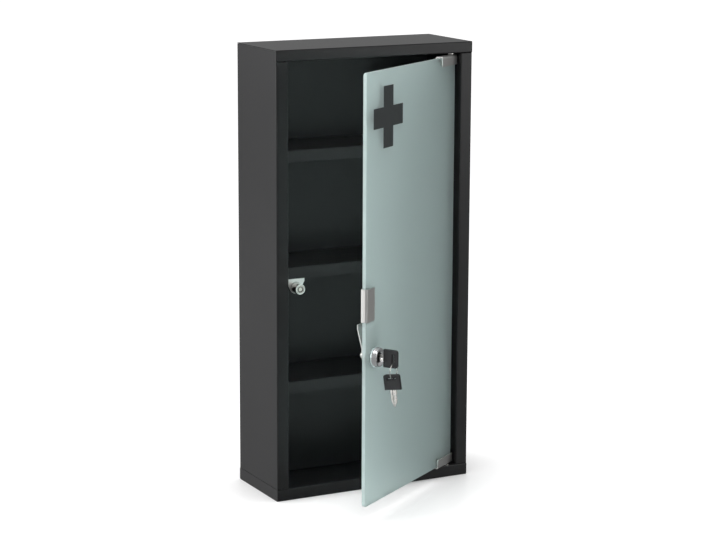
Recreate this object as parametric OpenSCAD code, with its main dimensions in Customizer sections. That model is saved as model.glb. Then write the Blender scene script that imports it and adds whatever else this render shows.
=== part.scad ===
// Wall medicine cabinet: folded steel housing with three shelves, and a glass door on two
// pivots that opens to the front. The door carries a clip handle, a cam lock and two keys.
// Millimetres, +Z up. The origin is the middle of the underside, and the front faces -Y.

/* [Housing] */
// Width across the side panels
body_w = 290; // [260:1:400]
// Height from the underside to the top
body_h = 600; // [560:1:800]
// Depth from the front frame to the back
body_d = 120; // [100:1:180]
// Thickness of the housing sheet
sheet = 1; // [0.7:0.1:1.3]
// Inside radius of the housing bends
bend_r = 0.6; // [0.3:0.1:1]
// Face width of the two upright front stiles
stile_w = 17.5; // [14:0.5:25]
// Face height of the top front rail
top_rail = 15; // [12:0.5:25]
// Face height of the bottom front rail and of the tray's side upstands
bottom_rail = 16; // [12:0.5:25]
// Depth of the return flange behind each stile
stile_return = 21; // [14:0.5:22]
// Depth of the return flanges behind the top and bottom rails
rail_return = 14; // [12:0.5:20]
// Width of the side and top flanges behind the back panel
back_flange = 14; // [8:0.5:25]
// Height of the weld flanges hidden inside the housing
weld_flange = 12; // [8:0.5:20]
// Side clearance of the back panel between the weld flanges
panel_clear = 0.1; // [0.05:0.05:0.3]

/* [Wall holes] */
// Diameter of the four holes in the back panel
wall_hole_d = 7; // [4:0.5:9]
// Spacing of the wall holes across
wall_hole_span = 200; // [120:1:220]
// Height of the lower wall holes above the underside
wall_hole_low = 60; // [30:1:100]
// Spacing of the wall holes up the back
wall_hole_rise = 480; // [440:1:500]

/* [Shelves] */
// Height from one shelf top to the next, and from the underside to the first
shelf_pitch = 155.5; // [140:0.5:165]
// Distance of the shelf lips behind the front of the housing
shelf_setback = 24; // [23:0.5:40]
// Height of the shelf front lips
shelf_lip = 16; // [12:0.5:22]
// Height of the shelf side and back flanges
shelf_flange = 12; // [8:0.5:20]

/* [Door glass] */
// Thickness of the glass
glass_t = 5; // [4:0.5:6]
// Gap between the glass and the rails above and below it
door_gap = 4; // [3.5:0.5:6]
// Gap between the glass and the stiles beside it
side_gap = 3; // [3:0.5:6]
// Distance of the glass behind the front of the housing when closed
glass_inset = 3; // [2.5:0.5:4]
// Radius of the glass corners
glass_corner_r = 4; // [1:0.5:8]
// Angle at which the door stands open
door_rest_angle = 34; // [0:1:110]

/* [Cross print] */
// Overall size of the cross
cross_size = 79; // [40:1:110]
// Width of the cross bars
cross_bar = 26; // [12:0.5:35]
// Distance of the cross centre from the free edge of the glass
cross_from_edge = 58; // [58:1:120]
// Distance of the cross centre below the top of the glass
cross_from_top = 60; // [60:1:120]
// Thickness of the printed layer
print_t = 0.2; // [0.1:0.05:0.4]

/* [Hinges] */
// Distance of the pivot axis from the hinge side of the glass
pivot_inset = 10; // [9:0.5:11]
// Diameter of the pivot pins
pivot_d = 5; // [4:0.5:5]
// Radial running clearance of a pin in its bush
pivot_clear = 0.05; // [0.02:0.01:0.1]
// Diameter of the bush neck
bush_neck_d = 7; // [6.5:0.5:7]
// Diameter of the bush flange
bush_flange_d = 10; // [9:0.5:12]
// Thickness of the bush flange
bush_flange_t = 1.2; // [0.8:0.1:1.5]
// Length of the bush neck
bush_neck_l = 4; // [2:0.5:8]
// Play between a pin collar and its bush
collar_gap = 0.3; // [0.1:0.05:0.5]
// Diameter of the pin collar
collar_d = 8.5; // [7:0.5:10]
// Length of the hinge clamps along the glass edge
clamp_l = 43; // [28:1:60]
// Height of the clamp legs on the glass
clamp_leg = 11.5; // [10:0.5:20]
// Thickness of the clamp metal
clamp_t = 1.8; // [1.2:0.1:1.8]
// Inside radius of the clamp bends
clamp_bend_r = 1; // [0.5:0.1:1]
// Thickness of the clamp pads
pad_t = 1.2; // [0.5:0.1:1.2]
// Margin of a pad inside its clamp leg
pad_margin = 1; // [0.5:0.5:2]
// Diameter of the hinge grub screws
grub_d = 4; // [3:0.5:5]
// Length of the hinge grub screws
grub_l = 3.5; // [3:0.5:5]
// Width across the flats of a grub screw's socket
grub_socket = 2; // [1.5:0.5:2]

/* [Handle] */
// Height of the handle clip
handle_h = 43; // [36:1:60]
// Length of the front leg on the glass
handle_leg = 20; // [12:0.5:30]
// Length of the rear leg, which is the catch's strike plate
strike_leg = 28; // [27:0.5:32]
// Thickness of the clip metal
handle_t = 1.2; // [1:0.1:1.4]
// Inside radius of the clip bends
handle_bend_r = 1.5; // [0.3:0.1:1.6]
// Thickness of the adhesive pads under the clip
tape_t = 1; // [0.5:0.1:1.2]
// Gap between the clip's web and the glass edge
web_gap = 0.6; // [0.3:0.1:0.9]
// Height of the handle's middle above the magnet's middle
handle_rise = 2.5; // [0:0.5:8]

/* [Magnetic catch] */
// Diameter of the magnet cup
cup_d = 14; // [12:0.5:16]
// Diameter of the magnet in the cup
magnet_d = 10.5; // [8:0.5:10.5]
// Length of the magnet
magnet_l = 5; // [3:0.5:8]
// Depth of the magnet's face below the cup's rim
magnet_sunk = 0.25; // [0:0.05:0.5]
// Distance of the magnet's axis from the free edge of the closed glass
magnet_from_edge = 19; // [17:0.5:19]
// Distance of the magnet's axis below the shelf lip
magnet_drop = 12; // [10:0.5:16]
// Air gap between the magnet and the closed strike plate
catch_gap = 0.3; // [0.2:0.05:0.8]
// Width of the catch bracket
bracket_w = 26; // [20:0.5:30]
// Thickness of the catch bracket
bracket_t = 1.2; // [1:0.1:2]
// Metal left around the cup at the foot of the bracket
bracket_rim = 1; // [0.5:0.5:2]
// Diameter of the catch's threaded stud
stud_d = 4; // [3:0.5:5]
// Width across the corners of the catch nut
catch_nut_d = 8; // [7:0.5:9]
// Thickness of the catch nut
catch_nut_t = 3; // [2:0.5:4]

/* [Lock] */
// Distance of the lock's axis from the free edge of the glass
lock_from_edge = 24; // [23:0.5:26]
// Distance of the lock's axis below the middle of the handle
lock_drop = 70.5; // [68:0.5:90]
// Diameter of the lock head on the glass
head_d = 29; // [24:0.5:30]
// Diameter of the lock's front face
face_d = 25; // [22:0.5:26]
// Length of the lock head in front of its gasket
head_l = 8; // [4:0.1:10]
// Thickness of each lock gasket
gasket_t = 0.8; // [0.5:0.1:1.5]
// Margin of a gasket inside the head or nut that covers it
gasket_margin = 1; // [0.5:0.5:2]
// Diameter of the lock barrel
barrel_d = 18; // [17.5:0.5:20]
// Length of the barrel behind the glass
barrel_l = 8.8; // [7:0.1:12]
// Radial clearance of the barrel in the glass
glass_hole_clear = 0.5; // [0.3:0.1:1]
// Width across the corners of the lock nut
lock_nut_d = 24; // [22:0.5:25]
// Thickness of the lock nut
lock_nut_t = 3; // [2:0.5:4]
// Diameter of the lock plug
plug_d = 14; // [13:0.5:14]
// Radial running clearance of the plug in its barrel
plug_clear = 0.05; // [0.02:0.01:0.1]
// Depth of the plug's face below the lock's face
plug_recess = 2.4; // [0.4:0.1:3]
// Width of the slope from the lock's face down to the plug
face_slope = 3; // [0.5:0.5:3.5]
// Number of wafers in the plug
wafers = 4; // [3:1:5]
// Spacing of the wafers
wafer_pitch = 2.6; // [2:0.1:2.8]
// Depth of the first wafer below the plug's face
wafer_start = 4; // [3:0.5:6]
// Thickness of a wafer
wafer_t = 0.9; // [0.6:0.1:1.1]
// Width of a wafer
wafer_w = 8; // [7:0.5:8.5]
// Height of a wafer
wafer_h = 11; // [10.5:0.5:11]
// Clearance around a wafer in its slot
wafer_clear = 0.1; // [0.05:0.05:0.2]

/* [Cam] */
// Length of the cam from the lock's axis
cam_l = 41; // [37:0.5:42]
// Width of the cam
cam_w = 14; // [11:0.5:15]
// Thickness of the cam
cam_t = 1.5; // [1:0.1:2]
// Step of the cam's bent end behind its root
cam_step = 6.5; // [5:0.5:9]
// Distance from the axis at which the cam's slope begins
cam_slope_from = 10; // [10:0.5:14]
// Length of the cam's slope
cam_slope_l = 25; // [12:0.5:26]
// Size of the square tail that drives the cam
tail_size = 7; // [6:0.5:8]
// Clearance of the cam and its root behind the barrel
cam_clear = 0.1; // [0.05:0.05:0.3]
// Diameter of the cam washer
washer_d = 11; // [10:0.5:12]
// Thickness of the cam washer
washer_t = 0.8; // [0.5:0.1:1.2]
// Diameter of the cam screw's head
cam_screw_head_d = 7.5; // [6:0.5:9]
// Height of the cam screw's head
cam_screw_head_t = 2.4; // [1.5:0.1:3]
// Diameter of the cam screw's shank
cam_screw_d = 4; // [3:0.5:4.5]
// Length of the cam screw's shank in the plug
cam_screw_l = 3.5; // [2:0.5:3.5]
// Length of the cross recess in the cam screw's head
cross_recess_l = 5; // [4:0.5:5.5]
// Width of the cross recess
cross_recess_w = 0.8; // [0.6:0.1:1.2]
// Depth of the cross recess
cross_recess_h = 1.2; // [0.8:0.1:1.4]

/* [Keys] */
// Length of a key head
key_head_l = 20; // [19.5:0.5:26]
// Width of a key head
key_head_w = 24; // [20:0.5:26]
// Thickness of a key head
key_head_t = 4; // [3:0.5:4.5]
// Radius of the key head's outer corners
key_corner_r = 4; // [1:0.5:5]
// Width of the slot for the ring
key_slot_w = 3; // [2.8:0.1:3.5]
// Length of the slot for the ring
key_slot_l = 12.5; // [9:0.5:13]
// Distance of the slot's middle from the key's shoulder
key_slot_at = 14; // [13:0.1:15]
// Chamfer along the key head's edges and slot
key_chamfer = 0.8; // [0.4:0.1:1]
// Length of the blade in front of the shoulder
blade_l = 23.5; // [20:0.5:24]
// Length of the blade's tang inside the head
tang_l = 8; // [5:0.5:9]
// Width of the blade
blade_w = 8.5; // [6:0.5:8.5]
// Thickness of the blade
blade_t = 2; // [1.6:0.1:2]
// Clearance of the blade in the keyway, each side
keyway_clear = 0.15; // [0.1:0.05:0.3]
// Number of cuts in the blade
cuts = 4; // [2:1:5]
// Depth of the cuts
cut_depth = 1.85; // [1:0.05:2]
// Length of the blade's tapered tip
tip_l = 9; // [4:0.5:10]
// Distance of the blade's tip from the middle of its width
tip_offset = 1; // [0:0.5:2]
// Width of the groove along each face of the blade
groove_w = 1; // [0.6:0.1:1.4]
// Depth of the groove
groove_depth = 0.65; // [0.3:0.05:0.8]
// Distance of the shoulder from the lock's face when the key is in
key_stand_off = 5; // [2:0.1:8]
// Radius of the key ring to the middle of its wire
ring_r = 10; // [9:0.5:13]
// Diameter of the ring wire
ring_wire_d = 1.2; // [0.8:0.1:1.4]
// Clearance of the ring around the key head's rim
ring_clear = 0.2; // [0.1:0.05:0.3]
// Angle at which the second key hangs
key_2_tilt = 8.5; // [0:0.5:12]
// Offset of the wire from the middle of the second key's slot
key_2_offset = 2.3; // [0:0.1:4]

/* [Hidden] */
$fn = 48;
cut = 1;                    // how far a cutter reaches past the face it opens
sliver = 0.02;              // thickness of the sections that a hull joins
bend_steps = 5;             // flats in each square bend
front_y = -body_d / 2;
back_y = body_d / 2;
inner_back_y = back_y - 2 * sheet;   // front face of the back panel, inside its flanges
side_x = body_w / 2;
inside_x = side_x - sheet;  // inner face of a side panel
opening_x = side_x - stile_w;
rail_z = body_h - top_rail; // underside of the top rail

shelf_y = front_y + shelf_setback;
middle_shelf_z = 2 * shelf_pitch;

glass_left = -opening_x + side_gap;  // free edge of the closed door
glass_right = opening_x - side_gap;  // hinge side
glass_low = bottom_rail + door_gap;
glass_high = rail_z - door_gap;
glass_front = front_y + glass_inset;
glass_mid = glass_front + glass_t / 2;
pivot_x = glass_right - pivot_inset;

collar_t = door_gap - clamp_t - bush_flange_t - collar_gap;
clamp_mid = glass_t / 2 + pad_t + clamp_t / 2;  // from the glass middle to a leg's middle
grub_x = glass_right - clamp_l / 2;

magnet_x = glass_left + magnet_from_edge;
magnet_z = middle_shelf_z - shelf_lip - magnet_drop;
handle_z = magnet_z + handle_rise;
handle_mid = glass_t / 2 + tape_t + handle_t / 2;
magnet_face_y = glass_mid + handle_mid + handle_t / 2 + catch_gap;
bracket_y = shelf_y + sheet;

lock_x = glass_left + lock_from_edge;
lock_z = handle_z - lock_drop;
face_w = gasket_t + head_l;              // heights above the glass front, outwards
plug_face_w = face_w - plug_recess;
barrel_end_w = -glass_t - barrel_l;
cam_w_top = barrel_end_w - cam_clear;    // side of the cam's root that faces the barrel
tail_end_w = cam_w_top - cam_t;
shoulder_w = face_w + key_stand_off;

rim = (key_head_w - key_slot_l) / 2;     // plastic beside the slot's end
rim_reach = norm([key_head_t / 2 - key_chamfer, rim / 2]);
ring_inner_r = ring_r - ring_wire_d / 2;
ring_hang_y = -(key_head_w - rim) / 2;   // axis on which the ring turns in key 1
ring_mid_y = ring_hang_y - (ring_inner_r - rim_reach - ring_clear);
wire_rise = ring_r - sqrt(ring_r * ring_r - key_head_t * key_head_t / 4);
wire_at = key_slot_at + key_slot_w / 2 - ring_wire_d / 2 - wire_rise - ring_clear;

// ---- folded sheet ----
function unit(v) = v / norm(v);
function turned(v) = [-v.y, v.x];
function cross_of(a, b) = a.x * b.y - a.y * b.x;

// Points of one side of the sheet round the square bend at path[i]
function bend_side(path, i, side, thick, inner) =
    let (a = unit(path[i] - path[i - 1]),
        b = unit(path[i + 1] - path[i]),
        turn = sign(cross_of(a, b)),
        middle_r = inner + thick / 2,
        centre = path[i] + (turned(a) * turn - a) * middle_r,
        r = middle_r - side * turn * thick / 2)
    [for (k = [0 : bend_steps]) let (angle = 90 * k / bend_steps)
        centre + (a * sin(angle) - turned(a) * turn * cos(angle)) * r];

function sheet_side(path, side, thick, inner) =
    let (last = len(path) - 1, half = side * thick / 2)
    concat([path[0] + turned(unit(path[1] - path[0])) * half],
        [for (i = [1 : last - 1]) each bend_side(path, i, side, thick, inner)],
        [path[last] + turned(unit(path[last] - path[last - 1])) * half]);

function reversed(list) = [for (i = [len(list) - 1 : -1 : 0]) list[i]];

// Section of a folded sheet whose middle follows the path
module folded(path, thick = sheet, inner = bend_r) {
    polygon(concat(sheet_side(path, 1, thick, inner), reversed(sheet_side(path, -1, thick, inner))));
}

// Extrudes a section drawn in Y and Z along X, or one drawn in X and Z along Y
module along_x(from, to) translate([from, 0, 0]) rotate([90, 0, 90]) linear_extrude(to - from) children();
module along_y(from, to) translate([0, to, 0]) rotate([90, 0, 0]) linear_extrude(to - from) children();
module along_z(from, to) translate([0, 0, from]) linear_extrude(to - from) children();

// A block between two opposite corners
module block(low, high) translate(low) cube(high - low);

module both_sides() {
    children();
    mirror([1, 0, 0]) children();
}

// ---- housing ----
module top_cap() color("#3a3a3c") {
    plate_z = body_h - sheet / 2;
    rail_y = front_y + sheet / 2;
    lip_z = rail_z + sheet / 2;
    difference() {
        union() {
            along_x(-side_x, side_x)
                folded([[back_y - sheet / 2, body_h - back_flange], [back_y - sheet / 2, plate_z],
                    [rail_y, plate_z], [rail_y, lip_z], [front_y + rail_return, lip_z]]);
            both_sides()
                block([inside_x - sheet, front_y + sheet, body_h - sheet - weld_flange],
                    [inside_x, inner_back_y - sheet, body_h - sheet / 2]);
        }
        both_sides()
            block([inside_x, front_y + sheet, rail_z - cut], [side_x + cut, back_y + cut, body_h - sheet]);
        both_sides()
            block([side_x - back_flange - panel_clear, back_y - sheet - bend_r, rail_z - cut],
                [side_x, back_y + cut, body_h - sheet]);
        bush_hole(rail_z);
    }
}

module bush_hole(z) {
    translate([pivot_x, glass_mid, z - cut])
        cylinder(d = bush_neck_d + 2 * pivot_clear, h = sheet + 2 * cut);
}

module bottom_tray() color("#333335") {
    plate_z = sheet / 2;
    rail_y = front_y + sheet / 2;
    lip_z = bottom_rail - sheet / 2;
    side_mid = side_x - sheet / 2;
    difference() {
        union() {
            along_x(-side_x, side_x)
                folded([[back_y - sheet / 2, bottom_rail], [back_y - sheet / 2, plate_z],
                    [rail_y, plate_z], [rail_y, lip_z], [front_y + rail_return, lip_z]]);
            along_y(front_y + sheet / 2, back_y)
                folded([[-side_mid, bottom_rail], [-side_mid, plate_z], [side_mid, plate_z],
                    [side_mid, bottom_rail]]);
        }
        both_sides()
            block([inside_x - sheet - panel_clear, front_y + sheet, bottom_rail - sheet - cut],
                [inside_x, front_y + rail_return + cut, bottom_rail + cut]);
        bush_hole(bottom_rail - sheet);
    }
}

// The right-hand panel: side, stile with its return, back flange, and the joggled weld tab below
module side_panel() {
    side_mid = side_x - sheet / 2;
    difference() {
        along_z(bottom_rail, body_h - sheet)
            folded([[side_x - back_flange, back_y - sheet / 2], [side_mid, back_y - sheet / 2],
                [side_mid, front_y + sheet / 2], [opening_x + sheet / 2, front_y + sheet / 2],
                [opening_x + sheet / 2, front_y + stile_return]]);
        block([opening_x - cut, front_y - cut, rail_z], [side_x + cut, front_y + sheet, body_h]);
        block([opening_x - cut, front_y - cut, rail_z], [inside_x, front_y + stile_return + cut, body_h]);
    }
    block([inside_x - sheet, front_y + sheet + bend_r, sheet + bend_r],
        [inside_x, inner_back_y - sheet, bottom_rail + weld_flange]);
}

module left_side_panel() color("#4a4a4c") mirror([1, 0, 0]) side_panel();
module right_side_panel() color("#4a4a4c") side_panel();

module back_panel() color("#2c2c2e") {
    half = inside_x - sheet - panel_clear;
    edge = sheet + bend_r;
    difference() {
        block([-half, inner_back_y, edge], [half, back_y - sheet, body_h - edge]);
        for (x = [-1, 1], row = [0, 1])
            translate([x * wall_hole_span / 2, back_y + cut, wall_hole_low + row * wall_hole_rise])
                rotate([90, 0, 0]) cylinder(d = wall_hole_d, h = 2 * sheet + 2 * cut);
    }
}

module shelf(number) {
    top = number * shelf_pitch - sheet / 2;
    lip_y = shelf_y + sheet / 2;
    rear_y = inner_back_y - sheet / 2;
    color("#303032") {
        along_x(-inside_x, inside_x)
            folded([[lip_y, number * shelf_pitch - shelf_lip], [lip_y, top], [rear_y, top],
                [rear_y, top - shelf_flange]]);
        both_sides()
            block([inside_x - sheet, shelf_y + 2 * sheet, top - shelf_flange], [inside_x, rear_y, top]);
    }
}

module lower_shelf() shelf(1);
module middle_shelf() shelf(2);
module upper_shelf() shelf(3);

// ---- pivots ----
// A flanged bush with its flange's outer face at z = 0 and its neck pointing up
module bush() color("#d8d8d6") {
    bore_r = pivot_d / 2 + pivot_clear;
    rotate_extrude() {
        translate([bore_r, 0]) square([bush_flange_d / 2 - bore_r, bush_flange_t]);
        translate([bore_r, 0]) square([bush_neck_d / 2 - bore_r, bush_flange_t + bush_neck_l]);
    }
}

module upper_pivot_bush() translate([pivot_x, glass_mid, rail_z - bush_flange_t]) bush();
module lower_pivot_bush()
    translate([pivot_x, glass_mid, bottom_rail + bush_flange_t]) mirror([0, 0, 1]) bush();

// A pivot pin standing on the clamp's web, whose inner face is z = 0
module pin() color("#c9c9c7") {
    reach = clamp_t + collar_t + collar_gap + bush_flange_t + bush_neck_l;
    cylinder(d = pivot_d, h = reach);
    translate([0, 0, clamp_t]) cylinder(d = collar_d, h = collar_t);
}

// Turns what is drawn on the closed door to the angle at which the door stands
module on_door() {
    translate([pivot_x, glass_mid, 0]) rotate([0, 0, door_rest_angle])
        translate([-pivot_x, -glass_mid, 0]) children();
}

module upper_pivot_pin() on_door() translate([pivot_x, glass_mid, glass_high]) pin();
module lower_pivot_pin()
    on_door() translate([pivot_x, glass_mid, glass_low]) mirror([0, 0, 1]) pin();

// ---- glass ----
module rounded_rect(low, high, r) {
    translate(low + [r, 0]) square(high - low - [2 * r, 0]);
    translate(low + [0, r]) square(high - low - [0, 2 * r]);
    for (x = [low.x + r, high.x - r], y = [low.y + r, high.y - r]) translate([x, y]) circle(r);
}

module glass_pane() color("#9db8b2", 0.8) on_door() difference() {
    along_y(glass_front, glass_front + glass_t)
        rounded_rect([glass_left, glass_low], [glass_right, glass_high], glass_corner_r);
    at_lock(-glass_t - cut) cylinder(d = barrel_d + 2 * glass_hole_clear, h = glass_t + 2 * cut);
}

module cross_print() color("#4a5050") on_door()
    along_y(glass_front - print_t, glass_front)
        translate([glass_left + cross_from_edge, glass_high - cross_from_top]) {
            square([cross_size, cross_bar], center = true);
            square([cross_bar, cross_size], center = true);
        }

// ---- hinge clamps ----
// A clamp drawn over the top edge of the glass; the edge is z = 0
module clamp() color("#b9b9b6") difference() {
    along_x(glass_right - clamp_l, glass_right)
        translate([glass_mid, 0])
            folded([[-clamp_mid, -clamp_leg], [-clamp_mid, clamp_t / 2], [clamp_mid, clamp_t / 2],
                [clamp_mid, -clamp_leg]], clamp_t, clamp_bend_r);
    translate([pivot_x, glass_mid, -cut])
        cylinder(d = pivot_d + 2 * pivot_clear, h = clamp_t + 2 * cut);
    translate([grub_x, glass_mid, -clamp_leg / 2]) rotate([-90, 0, 0])
        cylinder(d = grub_d + 2 * pivot_clear, h = clamp_mid + clamp_t);
}

module clamp_pads() color("#e8e8e4")
    for (y = [glass_front - pad_t, glass_front + glass_t])
        block([glass_right - clamp_l + pad_margin, y, -clamp_leg + pad_margin],
            [glass_right - pad_margin, y + pad_t, -pad_margin]);

module grub_screw() color("#5a5a58")
    translate([grub_x, glass_front + glass_t + pad_t, -clamp_leg / 2]) rotate([-90, 0, 0])
        difference() {
            cylinder(d = grub_d, h = grub_l);
            translate([0, 0, grub_l / 2]) cylinder(d = grub_socket * 2 / sqrt(3), h = grub_l, $fn = 6);
        }

// Places what is drawn on the top edge of the glass there, or turned over on the bottom edge
module on_top_edge() on_door() translate([0, 0, glass_high]) children();
module on_bottom_edge() on_door() translate([0, 0, glass_low]) mirror([0, 0, 1]) children();

module upper_hinge_clamp() on_top_edge() clamp();
module lower_hinge_clamp() on_bottom_edge() clamp();
module upper_hinge_pads() on_top_edge() clamp_pads();
module lower_hinge_pads() on_bottom_edge() clamp_pads();
module hinge_grub_screws() {
    on_top_edge() grub_screw();
    on_bottom_edge() grub_screw();
}

// ---- handle and magnetic catch ----
module handle_clip() color("#c4c2bf") on_door() {
    web_x = glass_left - web_gap - handle_t / 2;
    along_z(handle_z - handle_h / 2, handle_z + handle_h / 2)
        translate([0, glass_mid])
            folded([[glass_left + handle_leg, -handle_mid], [web_x, -handle_mid], [web_x, handle_mid],
                [glass_left + strike_leg, handle_mid]], handle_t, handle_bend_r);
}

module handle_pads() color("#2a2a2a") on_door()
    for (y = [glass_front - tape_t, glass_front + glass_t])
        block([glass_left + pad_margin, y, handle_z - handle_h / 2 + pad_margin],
            [glass_left + handle_leg - pad_margin, y + tape_t, handle_z + handle_h / 2 - pad_margin]);

// Local Z runs forwards along the magnet's axis, from the bracket's front face
module at_catch() translate([magnet_x, bracket_y, magnet_z]) rotate([90, 0, 0]) children();

module catch_bracket() color("#dcdcda") {
    foot_r = cup_d / 2 + bracket_rim;
    top = shelf_lip + magnet_drop - 2 * sheet;
    at_catch() translate([0, 0, -bracket_t]) difference() {
        linear_extrude(bracket_t) hull() {
            translate([-bracket_w / 2, foot_r]) square([bracket_w, top - foot_r]);
            circle(foot_r);
        }
        translate([0, 0, -cut]) cylinder(d = stud_d + 2 * pivot_clear, h = bracket_t + 2 * cut);
    }
}

module catch_cup() color("#d0d0ce") at_catch() {
    length = bracket_y - magnet_face_y;
    difference() {
        cylinder(d = cup_d, h = length);
        translate([0, 0, length - magnet_l])
            cylinder(d = magnet_d + 2 * pivot_clear, h = magnet_l + cut);
    }
    translate([0, 0, -bracket_t - catch_nut_t]) cylinder(d = stud_d, h = bracket_t + catch_nut_t + cut);
}

module catch_magnet() color("#8c8c8a") at_catch()
    translate([0, 0, bracket_y - magnet_face_y - magnet_l])
        cylinder(d = magnet_d, h = magnet_l - magnet_sunk);

module catch_nut() color("#c8c8c4") at_catch() translate([0, 0, -bracket_t - catch_nut_t])
    difference() {
        cylinder(d = catch_nut_d, h = catch_nut_t, $fn = 6);
        translate([0, 0, -cut]) cylinder(d = stud_d + 2 * pivot_clear, h = catch_nut_t + 2 * cut);
    }

// ---- lock ----
// Local Z runs outwards along the lock's axis and is w above the glass front; local Y is up
module at_lock(w = 0) translate([lock_x, glass_front - w, lock_z]) rotate([90, 0, 0]) children();

module ring_shape(outer_d, inner_d, h) difference() {
    cylinder(d = outer_d, h = h);
    translate([0, 0, -cut]) cylinder(d = inner_d, h = h + 2 * cut);
}

module lock_housing() color("#d6d6d4") on_door() {
    bore_r = plug_d / 2 + plug_clear;
    edge_r = (head_d - face_d) / 2;
    at_lock() rotate_extrude($fn = 96)
        polygon([[bore_r, barrel_end_w], [barrel_d / 2, barrel_end_w], [barrel_d / 2, gasket_t],
            [head_d / 2, gasket_t], [head_d / 2, face_w - 3 * edge_r], [face_d / 2, face_w - edge_r / 2],
            [face_d / 2 - edge_r / 2, face_w], [bore_r + face_slope, face_w], [bore_r, plug_face_w]]);
}

module lock_gaskets() color("#1e1e1e") on_door() {
    at_lock() ring_shape(head_d - 2 * gasket_margin, barrel_d + 2 * glass_hole_clear, gasket_t);
    at_lock(-glass_t - gasket_t)
        ring_shape(lock_nut_d - 2 * gasket_margin, barrel_d + 2 * glass_hole_clear, gasket_t);
}

module lock_nut() color("#b8b8b4") on_door() at_lock(-glass_t - gasket_t - lock_nut_t) difference() {
    cylinder(d = lock_nut_d, h = lock_nut_t, $fn = 6);
    translate([0, 0, -cut]) cylinder(d = barrel_d + 2 * pivot_clear, h = lock_nut_t + 2 * cut);
}

module box_across(size_x, size_y, h) translate([-size_x / 2, -size_y / 2, 0]) cube([size_x, size_y, h]);

function wafer_w_at(i) = plug_face_w - wafer_start - i * wafer_pitch;

module lock_plug() color("#a8a8a4") on_door() difference() {
    keyway_l = key_stand_off + blade_l;
    union() {
        at_lock(barrel_end_w) cylinder(d = plug_d, h = plug_face_w - barrel_end_w);
        at_lock(tail_end_w) box_across(tail_size, tail_size, cam_t + cam_clear);
    }
    at_lock(shoulder_w - blade_l - keyway_clear)
        box_across(blade_t + 2 * keyway_clear, blade_w + 2 * keyway_clear, keyway_l);
    for (i = [0 : wafers - 1])
        at_lock(wafer_w_at(i) - wafer_t - wafer_clear)
            box_across(wafer_w + 2 * wafer_clear, plug_d + cut, wafer_t + 2 * wafer_clear);
    at_lock(tail_end_w - cut) cylinder(d = cam_screw_d + 2 * pivot_clear, h = cam_screw_l + cut);
}

module lock_wafers() color("#c8a860") on_door()
    for (i = [0 : wafers - 1])
        at_lock(wafer_w_at(i) - wafer_t) difference() {
            box_across(wafer_w, wafer_h, wafer_t);
            translate([0, 0, -cut])
                box_across(blade_t + 4 * keyway_clear, blade_w + 4 * keyway_clear, wafer_t + 2 * cut);
        }

// The cam points up when unlocked. Its section is drawn in Y and Z, behind the barrel
module lock_cam() color("#bcbcb8") on_door() at_lock(tail_end_w) {
    slope_end = cam_slope_from + cam_slope_l;
    rise = cam_t / 2 * tan(atan(cam_step / cam_slope_l) / 2);
    difference() {
        union() {
            ring_shape(cam_w, tail_size, cam_t);
            rotate([90, 0, 90]) translate([0, 0, -cam_w / 2]) linear_extrude(cam_w)
                polygon([[0, 0], [cam_slope_from - rise, 0], [slope_end - rise, -cam_step],
                    [cam_l, -cam_step], [cam_l, cam_t - cam_step], [slope_end + rise, cam_t - cam_step],
                    [cam_slope_from + rise, cam_t], [0, cam_t]]);
        }
        translate([0, 0, -cut])
            box_across(tail_size + 2 * pivot_clear, tail_size + 2 * pivot_clear, cam_t + 2 * cut);
    }
}

module cam_washer() color("#cfcfcb") on_door()
    at_lock(tail_end_w - washer_t) ring_shape(washer_d, cam_screw_d + 2 * pivot_clear, washer_t);

module cam_screw() color("#c2c2be") on_door() {
    at_lock(tail_end_w - washer_t) cylinder(d = cam_screw_d, h = washer_t + cam_screw_l - cam_clear);
    at_lock(tail_end_w - washer_t - cam_screw_head_t) difference() {
        cylinder(d = cam_screw_head_d, h = cam_screw_head_t);
        for (turn = [0, 90])
            rotate([0, 0, turn]) translate([0, 0, -cut])
                box_across(cross_recess_l, cross_recess_w, cut + cross_recess_h);
    }
}

// ---- keys ----
// A key lies flat: its head runs from x = 0 to +X, and its blade points to -X
module key_blade() color("#d2cfc8") {
    half_w = blade_w / 2;
    cut_pitch = blade_l / (cuts + 2);
    difference() {
        translate([0, 0, -blade_t / 2]) linear_extrude(blade_t)
            polygon([[tang_l, -half_w], [tang_l, half_w], [tip_l - blade_l, half_w],
                [-blade_l, tip_offset], [tip_l - blade_l, -half_w]]);
        for (i = [1 : cuts])
            translate([i * cut_pitch - blade_l, -half_w, 0]) rotate([0, 0, 45])
                cube([cut_depth * sqrt(2), cut_depth * sqrt(2), blade_t + 2 * cut], center = true);
        for (side = [-1, 1])
            translate([-blade_l - cut, tip_offset - groove_w / 2, side * blade_t / 2 - groove_depth])
                cube([blade_l + cut, groove_w, 2 * groove_depth]);
    }
}

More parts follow.
